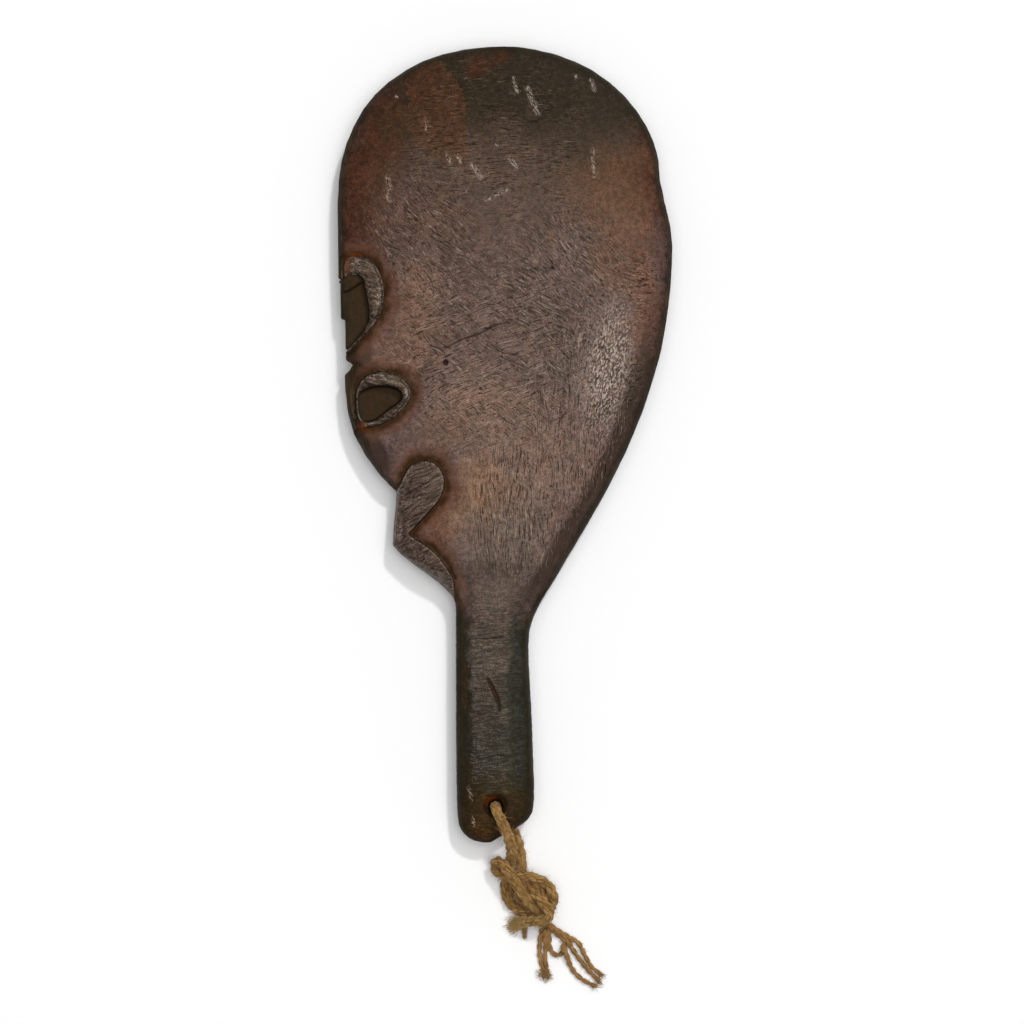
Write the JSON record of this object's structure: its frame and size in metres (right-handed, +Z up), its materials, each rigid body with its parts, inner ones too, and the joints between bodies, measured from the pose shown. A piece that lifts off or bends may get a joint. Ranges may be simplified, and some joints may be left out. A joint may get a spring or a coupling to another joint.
{
  "type": "carved hand club",
  "caption": "Short broad-bladed hand club carved from one piece of hardwood, with a notched carved edge and a knotted plant-fibre wrist cord.",
  "frame": {"origin": "centre of the wooden club's length and width, on the surface that it lies on", "axes": "+Y towards the blade tip, +X towards the plain edge, +Z up out of the carved face that shows"},
  "size_m": [0.1605, 0.4526, 0.027],
  "materials": {
    "carved_hardwood": "hand-rubbed dark patina, satin",
    "twisted_cord": "matt twisted plant fibre",
    "loose_fibre": "matt loose plant fibre"
  },
  "bodies": {
    "club": {"club_body": "carved_hardwood"},
    "cord": {"cord_front": "twisted_cord", "cord_back": "twisted_cord", "frayed_end": "loose_fibre", "yarn_bight": "loose_fibre", "tail_short_left": "loose_fibre", "tail_short_right": "loose_fibre", "tail_upper": "loose_fibre", "tail_middle": "loose_fibre", "tail_lower": "loose_fibre"}
  },
  "joints": [
    {"name": "cord_swing", "type": "hinge", "parent": "club", "child": "cord", "pos_m": [-0.0045, -0.1735, 0.0124], "axis": [0, 0, 1], "range_deg": [-45, 45]}
  ]
}
